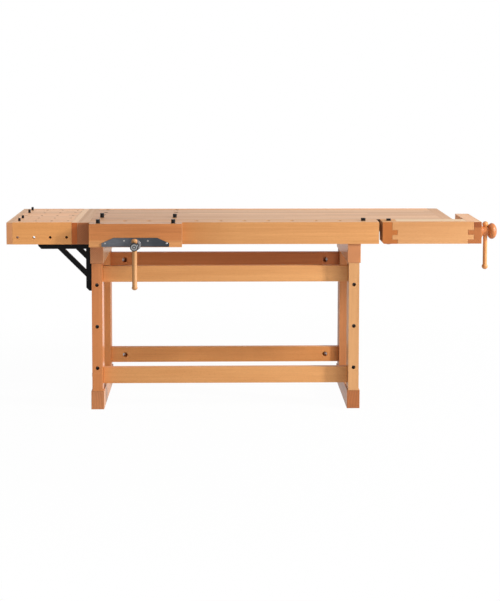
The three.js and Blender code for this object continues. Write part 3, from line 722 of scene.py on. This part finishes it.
# flanks: where the thread rises and falls, as shares of its lead
screwThread = {"root": 0.0121, "crest": 0.014, "lead": 0.010, "steps": 40, "flanks": (0.27, 0.38, 0.62, 0.73)}
hubSteelLook = {
    "pale": (0.42, 0.42, 0.42),
    "dark": (0.28, 0.28, 0.28),
    "rim": (0.045, 0.047, 0.05),
    "rimEdge": (0.0135, 0.0150),
    # painted shade: the band over the groove in the hub's face is darkened
    "ring": (0.0046, 0.0084),
    "ringEdge": 0.0006,
    "marks": 2600.0,
    "roughness": (0.26, 0.4),
    "bump": {"Strength": 0.1, "Distance": 0.0002},
}


# turned steel: fine marks round the Y axis through the centre, painted shade in a band over the face's
# groove, and black towards the rim
def makeTurnedSteel(name, look, centre):
    material, tree, shader, coords = startMaterial(name)
    middle = tuple(-value for value in centre)
    vector = wire(tree, "Mapping", {"Vector": coords["Object"], "Location": middle})
    radius = wire(tree, "VectorMath", {0: stretched(tree, vector, (1, 0, 1))}, out=1, operation="LENGTH")
    marks = noise(tree, wire(tree, "CombineXYZ", {"X": radius}), (look["marks"], 0, 0))
    color = mixColor(tree, marks, opaque(look["pale"]), opaque(look["dark"]))
    inner, outer = look["ring"]
    edge = look["ringEdge"]
    # painted shade over the groove
    ring = calc(tree, "MULTIPLY", spread(tree, radius, inner - edge, inner + edge),
                spread(tree, radius, outer - edge, outer + edge, 1.0, 0.0))
    dark = calc(tree, "MAXIMUM", ring, spread(tree, radius, *look["rimEdge"]))
    feed(tree, shader, {
        "Base Color": mixColor(tree, dark, color, opaque(look["rim"])),
        "Roughness": spread(tree, marks, 0, 1, *look["roughness"]),
        "Normal": wire(tree, "Bump", {"Height": marks, **look["bump"]}),
        "Metallic": 1.0,
    })
    return material


def makeFrontScrew(look):
    low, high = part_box("front_screw")
    place = middleOf("front_screw")
    hubRadius = look["hub"]
    hubStart = look["collarLength"]
    end = hubStart + look["hubLength"]
    edge = look["edge"]
    place.y = low.y + end
    lipEdge = look["lipEdge"]
    footOut, footBack = look["coneFoot"]
    collar = [(0.0, -look["plainLength"]), (screwThread["crest"], -look["plainLength"]),
              (screwThread["crest"], 0.0), (look["collar"] - edge, 0.0), (look["collar"], edge),
              (look["collar"], look["lip"] - lipEdge), (look["collar"] - lipEdge, look["lip"]),
              (hubRadius + footOut, hubStart - footBack), (hubRadius, hubStart), (0.0, hubStart)]
    piece = makeObject(setDown(turnedShape(collar), "front", place), "frontScrewCollar")
    fitPiece(piece, steel["collarSteel"], "front_screw", "steel", "front_screw")
    outer, inner = look["groove"]
    bottom = end - look["grooveDepth"]
    hub = [(0.0, hubStart), (hubRadius, hubStart), (hubRadius, end - look["chamfer"]),
           (hubRadius - look["chamfer"], end), (outer + edge / 2, end), (outer, bottom), (inner, bottom),
           (inner - edge / 2, end), (look["centreHole"], end), (0.0, end - look["centreHole"])]
    piece = makeObject(setDown(turnedShape(hub), "front", place), "frontScrewHub")
    bore = prismShape(look["handleHole"], -hubRadius * 2, hubRadius * 2)
    drill(piece, setDown(bore, "z", (place.x, place.y - hubStart - look["hubLength"] / 2, place.z)))
    fitPiece(piece, makeTurnedSteel("hubSteel", hubSteelLook, place), "front_screw", "steel", "front_screw")
    start = place.y + look["plainLength"]
    shank = setDown(threadedShape(screwThread, high.y - start), "y", (place.x, start, place.z))
    shank = makeObject(shank, "frontScrewThread", shaping["threadSharp"])
    fitPiece(shank, steel["brightSteel"], "front_screw", "steel", "front_screw")


makeFrontScrew(frontScrewLook)
print("front screw cut")


# tail vise screw and its turned wooden head
tailHeadLook = {
    "flange": 0.0335,
    "flangeLength": 0.011,
    "coveLength": 0.006,
    "neck": 0.023,
    "neckLength": 0.024,
    "mushroom": 0.0385,
    "mushroomLength": 0.043,
    "mushroomRings": 18,
    "socket": 0.0143,
    "socketDepth": 0.0123,
    "edge": 0.001,
    "rim": ((0.0, 0.002), (0.0006, 0.0006), (0.002, 0.0)),
    "coveInset": 0.0025,
    "handleHole": 0.0107,
}


def makeTailScrew(look):
    low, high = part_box("tail_screw")
    place = middleOf("tail_screw")
    thread = setDown(threadedShape(screwThread, high.x - low.x), "x", (low.x, place.y, place.z))
    piece = makeObject(thread, "tailScrewThread", shaping["threadSharp"])
    fitPiece(piece, steel["brightSteel"], "tail_screw", "steel", "tail_screw")
    flange = look["flange"]
    flangeEnd = look["flangeLength"]
    edge = look["edge"]
    neckStart = flangeEnd + look["coveLength"]
    neckEnd = neckStart + look["neckLength"]
    outline = [(0.0, look["socketDepth"]), (look["socket"], look["socketDepth"]), (look["socket"], 0.0),
               (flange - edge, 0.0), (flange, edge)]
    outline += [(flange - inset, flangeEnd - back) for inset, back in look["rim"]]
    outline += cove((flange - look["coveInset"], flangeEnd), (look["neck"], neckStart))
    outline += bulb(look["neck"], look["mushroom"], neckEnd, look["mushroomLength"], look["mushroomRings"])
    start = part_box("tail_screw_head")[0].x
    shape = setDown(turnedShape(outline), "x", (start, place.y, place.z))
    head = makeObject(shape, "tailScrewHead", shaping["headSharp"])
    bore = prismShape(look["handleHole"], -look["mushroom"] * 2, look["mushroom"] * 2)
    handleX = start + neckStart + look["neckLength"] / 2
    drill(head, setDown(bore, "z", (handleX, place.y, place.z)), shaping["headSharp"])
    fitPiece(head, wood["screwHeadBeech"], "tail_screw", "turned_beech", "tail_screw_head")


makeTailScrew(tailHeadLook)
print("tail screw cut")


# round guide bars with chamfered ends
guideBars = {"guide_bar_1": "front_vise", "guide_bar_2": "front_vise", "tail_guide_bar": "tail_vise"}
guideChamfer = 0.0015


def makeGuideBar(name, body):
    low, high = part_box(name)
    length = max(high - low)
    radius = min(high - low) / 2
    outline = [(0.0, 0.0), (radius - guideChamfer, 0.0), (radius, guideChamfer),
               (radius, length - guideChamfer), (radius - guideChamfer, length), (0.0, length)]
    axis = "x" if high.x - low.x > high.y - low.y else "y"
    place = middleOf(name)
    setattr(place, axis, getattr(low, axis))
    piece = makeObject(setDown(turnedShape(outline, shaping["pinSides"]), axis, place), plainName(name))
    fitPiece(piece, steel["polishedSteel"], body, "steel", name)


for name, body in guideBars.items():
    makeGuideBar(name, body)
print("guide bars:", len(guideBars))


# trestle bolts with a domed head and a hexagon socket
trestleBolt = {
    "head": 0.0105,
    "headFlat": 0.0060,
    "dome": 0.0044,
    "domeRings": 6,
    "headHeight": 0.007,
    "shank": 0.005,
    "tip": 0.001,
    "edge": 0.0005,
    "socket": 0.0046,
    "socketDepth": 0.0044,
}


def makeTrestleBolt(node, look):
    low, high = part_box(node)
    place = middleOf(node)
    isLeft = node.startswith("left")
    axis = "x" if isLeft else "left"
    place.x = low.x if isLeft else high.x
    length = high.x - low.x
    head = look["head"]
    edge = look["edge"]
    outline = [(0.0, 0.0)] + cove((look["headFlat"], 0.0), (head, look["dome"]), look["domeRings"])
    outline += [(head, look["headHeight"] - edge), (head - edge, look["headHeight"]),
                (look["shank"], look["headHeight"]), (look["shank"], length - look["tip"]),
                (look["shank"] - look["tip"], length), (0.0, length)]
    bolt = makeObject(setDown(turnedShape(outline, shaping["pinSides"]), axis, place), plainName(node))
    socket = prismShape(look["socket"], -look["socketDepth"], look["socketDepth"], 6)
    drill(bolt, setDown(socket, axis, place))
    fitPiece(bolt, steel["brightSteel"], "bench", "steel", node)


bolts = [name for name in nodes if name.endswith("_bolt")]
for node in bolts:
    makeTrestleBolt(node, trestleBolt)
print("trestle bolts:", len(bolts))


# a half-moon washer and a hexagon nut on each bolt, in the round pocket of the stretcher
pocketNut = {
    "inset": 0.072,
    "washer": 0.0122,
    "washerWidth": 0.018,
    "washerFace": 0.0074,
    "nut": 0.0096,
    "nutHeight": 0.0066,
    "hole": 0.0052,
    "edge": 0.0005,
}


def makePocketNut(name, place, outward, look):
    axis = "x" if outward > 0 else "left"
    sharp = shaping["pinSharp"]
    hole = prismShape(look["hole"], -look["washer"] * 2, look["washer"] * 2, shaping["smallSides"])
    washer = prismShape(look["washer"], -look["washerWidth"] / 2, look["washerWidth"] / 2)
    setDown(washer, "y", (0, 0, 0))
    bmesh.ops.bisect_plane(washer, geom=washer.verts[:] + washer.edges[:] + washer.faces[:],
                           plane_co=(outward * look["washerFace"], 0, 0), plane_no=(-outward, 0, 0),
                           clear_outer=True)
    bmesh.ops.holes_fill(washer, edges=[edge for edge in washer.edges if edge.is_boundary], sides=0)
    bmesh.ops.recalc_face_normals(washer, faces=washer.faces)
    piece = makeObject(setDown(washer, "z", place), name + "Washer", sharp)
    drill(piece, setDown(hole.copy(), axis, place), sharp)
    softenEdges(piece, look["edge"])
    fitPiece(piece, steel["nutSteel"], "bench", "steel")
    nut = prismShape(look["nut"], look["washerFace"] - look["nutHeight"], look["washerFace"], 6)
    piece = makeObject(setDown(nut, axis, place), name, sharp)
    drill(piece, setDown(hole, axis, place), sharp)
    softenEdges(piece, look["edge"])
    fitPiece(piece, steel["nutSteel"], "bench", "steel")


def makePocketNuts(look):
    for level in ("upper", "lower"):
        for row in ("front", "rear"):
            stretcher = level + "_" + row + "_stretcher"
            low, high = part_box(stretcher)
            place = middleOf(stretcher)
            for side, end, outward in (("Left", low.x, -1), ("Right", high.x, 1)):
                place.x = end - outward * look["inset"]
                makePocketNut(level + row.title() + side + "Nut", place, outward, look)


makePocketNuts(pocketNut)
print("nuts set in the stretchers")


# small domed screws with a slot
slottedHead = {"neckShare": 0.999, "rings": 6, "slotReach": 3}


def makeSlottedScrew(name, place, axis, look, material, body):
    radius = look["radius"]
    outline = [(0.0, 0.0), (radius, 0.0)]
    outline += bulb(radius * slottedHead["neckShare"], radius, 0.0, look["height"], slottedHead["rings"])[1:]
    screw = makeObject(setDown(turnedShape(outline, shaping["smallSides"]), axis, place), name)
    slotSize = (radius * slottedHead["slotReach"], look["slotWidth"], look["slotDepth"] * 2)
    slot = addBox(bmesh.new(), slotSize, (0, 0, look["height"]))
    drill(screw, setDown(slot, axis, place))
    fitPiece(screw, material, body, "steel")


plateScrews = {
    "places": ((-0.143, 0.808), (-0.053, 0.820), (0.058, 0.820), (0.146, 0.808)),  # from the middle, height
    "radius": 0.0042,
    "height": 0.0018,
    "slotWidth": 0.0011,
    "slotDepth": 0.0009,
}


def makePlateScrews(look):
    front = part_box("face_plate")[0].y
    centre = middleOf("face_plate").x
    for number, (across, height) in enumerate(look["places"], 1):
        place = (centre + across, front, height)
        makeSlottedScrew("plateScrew" + str(number), place, "front", look, steel["screwSteel"], "front_vise")


makePlateScrews(plateScrews)
print("plate screws set")


# fasteners of the extension's brackets: flat screws through the post into the leg, screws through the flange
bracketFasteners = {
    "postHeights": (0.034, 0.140),
    "postFace": 0.027,
    "postScrew": {"radius": 0.0075, "height": 0.0008, "slotWidth": 0.0016, "slotDepth": 0.0007},
    "flangeColumns": (0.030, 0.082, 0.134),
    "flangeHeight": 0.828,
    "flangeScrew": {"radius": 0.0045, "height": 0.0022, "slotWidth": 0.0012, "slotDepth": 0.0010},
}


def makeBracketFasteners(node, look):
    low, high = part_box(node)
    name = plainName(node)
    for number, height in enumerate(look["postHeights"], 1):
        place = (high.x - look["postFace"], (low.y + high.y) / 2, low.z + height)
        makeSlottedScrew(name + "PostScrew" + str(number), place, "left", look["postScrew"],
                         steel["blackenedDog"], "bench")
    axis, face = ("y", high.y) if node.startswith("front") else ("front", low.y)
    for number, across in enumerate(look["flangeColumns"], 1):
        place = (low.x + across, face, look["flangeHeight"])
        makeSlottedScrew(name + "Screw" + str(number), place, axis, look["flangeScrew"],
                         steel["screwSteel"], "bench")


for node in ("front_bracket", "rear_bracket"):
    makeBracketFasteners(node, bracketFasteners)
print("bracket fasteners set")


# bench dogs: round pins with two flats milled on the head, and the extension's plain peg dogs
dogLook = {
    "headHeight": 0.024,
    "headWidth": 0.0185,
    "chamfer": 0.0016,
    "crown": 0.0007,
    "flatsAlong": {"left_jaw_dog": "x", "right_jaw_dog": "x", "left_top_dog": "x", "right_top_dog": "x",
                   "rail_dog": "y", "tail_dog": "y"},
}
pegLook = {"chamfer": 0.0012, "crown": 0.0016, "pegs": 4}
crownRings = 4


def makePin(node, look):
    low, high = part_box(node)
    chamfer, crown = look["chamfer"], look["crown"]
    radius = (high.x - low.x) / 2
    height = high.z - low.z
    outline = [(0.0, 0.0), (radius - chamfer, 0.0), (radius, chamfer)]
    outline += cove((radius, height - crown), (radius - crown, height), crownRings) + [(0.0, height)]
    place = middleOf(node)
    place.z = low.z
    shape = setDown(turnedShape(outline, shaping["pinSides"]), "z", place)
    return makeObject(shape, plainName(node), shaping["pinSharp"])


def makeDog(node, along, look):
    low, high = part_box(node)
    dog = makePin(node, look)
    width = high.x - low.x
    middle = middleOf(node)
    size = Vector((width * 2, width * 2, look["headHeight"] * 2))
    setattr(size, along, width)
    cutters = bmesh.new()
    for side in (-1, 1):
        offset = side * (look["headWidth"] + width) / 2
        centre = Vector((middle.x, middle.y, high.z))
        setattr(centre, along, getattr(centre, along) + offset)
        addBox(cutters, size, centre)
    drill(dog, cutters, shaping["pinSharp"])
    softenEdges(dog, look["crown"] / 2)
    fitPiece(dog, steel["blackenedDog"], node, "dog_black", node)


for node, along in dogLook["flatsAlong"].items():
    makeDog(node, along, dogLook)
for number in range(1, pegLook["pegs"] + 1):
    node = "extension_dog_" + str(number)
    fitPiece(makePin(node, pegLook), steel["blackenedDog"], node, "dog_black", node)
print("dogs turned")


# finishes of the CAD nodes, by the start of the name and then by its ending
nodeFinishes = [
    ("bench_top", wood["benchTopBeech"]),
    ("dog_rail", wood["dogRailBeech"]),
    ("rear_apron", wood["apronBeech"]),
    ("left_end_cap", wood["endCapBeech"]),
    ("right_end_cap", wood["endCapBeech"]),
    ("extension_top", wood["extensionTopBeech"]),
    ("extension_front_panel", wood["apronBeech"]),
    ("extension_rear_panel", wood["apronBeech"]),
    ("extension_outer_panel", wood["outerPanelBeech"]),
    ("extension_inner_panel", wood["innerPanelBeech"]),
    ("extension_dog", steel["blackenedDog"]),
    ("front_jaw", wood["jawBeech"]),
    ("left_front_leg", wood["leftLegBeech"]),
    ("left_rear_leg", wood["leftRearBeech"]),
    ("right_front_leg", wood["rightLegBeech"]),
    ("right_rear_leg", wood["rightRearBeech"]),
    ("left_bearer", wood["leftBearerBeech"]),
    ("upper_rear_stretcher", wood["upperRearBeech"]),
    ("lower_rear_stretcher", wood["lowerRearBeech"]),
    ("tail_front_board", wood["tailBoardBeech"]),
    ("tail_cover", wood["tailCoverBeech"]),
    ("tail_jaw", wood["tailJawBeech"]),
    ("tail_end_block", wood["tailEndBeech"]),
    ("tail_nut", wood["trestleBeech"]),
    ("face_plate", steel["plateSteel"]),
    ("front_nut", steel["blackCoat"]),
    ("front_bracket", steel["blackCoat"]),
    ("rear_bracket", steel["blackCoat"]),
]
nodeEndings = [
    ("_bearer", wood["trestleBeech"]),
    ("left_foot", wood["leftFootBeech"]),
    ("right_foot", wood["rightFootBeech"]),
    ("_stretcher", wood["stretcherBeech"]),
    ("_bolt", steel["brightSteel"]),
    ("_dog", steel["blackenedDog"]),
]


def finishOf(name):
    for start, material in nodeFinishes:
        if name.startswith(start):
            return material
    for ending, material in nodeEndings:
        if name.endswith(ending):
            return material
    return steel["brightSteel"]


# small rounded edges on the CAD nodes, in metres
edgeRounding = {
    "wood": 0.0016,
    "metal": 0.0008,
    "own": {"front_jaw": 0.003, "extension_top": 0.0006, "bench_top": 0.0008},
    "weld": 0.00002,
    "angle": 35,
}


def roundEdges(piece, width, look):
    weld = piece.modifiers.new("weld", "WELD")
    weld.merge_threshold = look["weld"]
    softenEdges(piece, width, look["angle"])
    shading = piece.modifiers.new("shading", "WEIGHTED_NORMAL")
    shading.keep_sharp = True


for name, piece in nodes.items():
    material = finishOf(name)
    piece.data.materials.clear()
    piece.data.materials.append(material)
    usual = edgeRounding["wood" if material.name in wood else "metal"]
    roundEdges(piece, edgeRounding["own"].get(name, usual), edgeRounding)
print("CAD nodes finished")


# studio: pale floor and white surroundings, a key light high on the right,
# and softer lights low on the right, beside it and above
studio = {
    "floorSize": 60.0,
    "floorDrop": 0.0005,
    "floorColor": (0.72, 0.72, 0.72),
    "floorGlow": 0.975,
    "shadowReach": (1.5, 2.6),
    "ambient": 0.385,
    "lights": {
        "keyLight": {"place": (5.6, -2.35, 3.4), "aim": (0.0, -0.1, 0.75), "size": (0.5, 1.2), "power": 430},
        "softLight": {"place": (4.5, -3.3, 1.5), "aim": (0.0, -0.1, 0.5), "size": (2.6, 2.0), "power": 100},
        "sideLight": {"place": (5.4, 0.4, 0.9), "aim": (0.0, 0.0, 0.5), "size": (1.4, 1.4), "power": 50},
        "topLight": {"place": (0.4, -0.4, 4.6), "aim": (0.2, 0.0, 0.7), "size": (3.6, 3.6), "power": 27},
    },
}


# 1 for rays that the camera, gloss or glass sends out
def seenRays(tree):
    rays = tree.nodes.new("ShaderNodeLightPath").outputs
    seen = calc(tree, "MAXIMUM", rays["Is Camera Ray"], rays["Is Glossy Ray"])
    return calc(tree, "MAXIMUM", seen, rays["Is Transmission Ray"])


def makeFloor(look):
    bm = bmesh.new()
    bmesh.ops.create_grid(bm, x_segments=1, y_segments=1, size=look["floorSize"] / 2)
    bmesh.ops.translate(bm, vec=(0, 0, -look["floorDrop"]), verts=bm.verts)
    mesh = bpy.data.meshes.new("floor")
    bm.to_mesh(mesh)
    bm.free()
    floor = bpy.data.objects.new("floor", mesh)
    bpy.context.scene.collection.objects.link(floor)
    material = bpy.data.materials.new("paleFloor")
    material.use_nodes = True
    tree = material.node_tree
    tree.nodes.clear()
    seen = seenRays(tree)
    matt = wire(tree, "BsdfDiffuse", {"Color": opaque(look["floorColor"])})
    glow = wire(tree, "Emission", {"Color": opaque(plain), "Strength": 1.0})
    place = tree.nodes.new("ShaderNodeTexCoord").outputs["Object"]
    away = wire(tree, "VectorMath", {0: place}, out=1, operation="LENGTH")
    glowing = spread(tree, away, *look["shadowReach"], look["floorGlow"], 1.0)
    amount = calc(tree, "MULTIPLY", seen, glowing)
    shown = wire(tree, "MixShader", {0: amount, 1: matt, 2: glow})
    end = tree.nodes.new("ShaderNodeOutputMaterial")
    tree.links.new(shown, end.inputs["Surface"])
    mesh.materials.append(material)


def makeWorld(look):
    world = bpy.data.worlds.new("whiteStudio")
    world.use_nodes = True
    bpy.context.scene.world = world
    tree = world.node_tree
    tree.nodes.clear()
    dim = wire(tree, "Background", {"Color": opaque(plain), "Strength": look["ambient"]})
    white = wire(tree, "Background", {"Color": opaque(plain), "Strength": 1.0})
    shown = wire(tree, "MixShader", {0: seenRays(tree), 1: dim, 2: white})
    end = tree.nodes.new("ShaderNodeOutputWorld")
    tree.links.new(shown, end.inputs["Surface"])


def makeLights(lights):
    for name, look in lights.items():
        data = bpy.data.lights.new(name, "AREA")
        data.energy = look["power"]
        data.shape = "RECTANGLE"
        data.size, data.size_y = look["size"]
        lamp = bpy.data.objects.new(name, data)
        lamp.location = look["place"]
        direction = Vector(look["aim"]) - Vector(look["place"])
        lamp.rotation_euler = direction.to_track_quat("-Z", "Y").to_euler()
        bpy.context.scene.collection.objects.link(lamp)


makeFloor(studio)
makeWorld(studio)
makeLights(studio["lights"])
bpy.context.scene.view_settings.view_transform = "Standard"
print("studio lit")
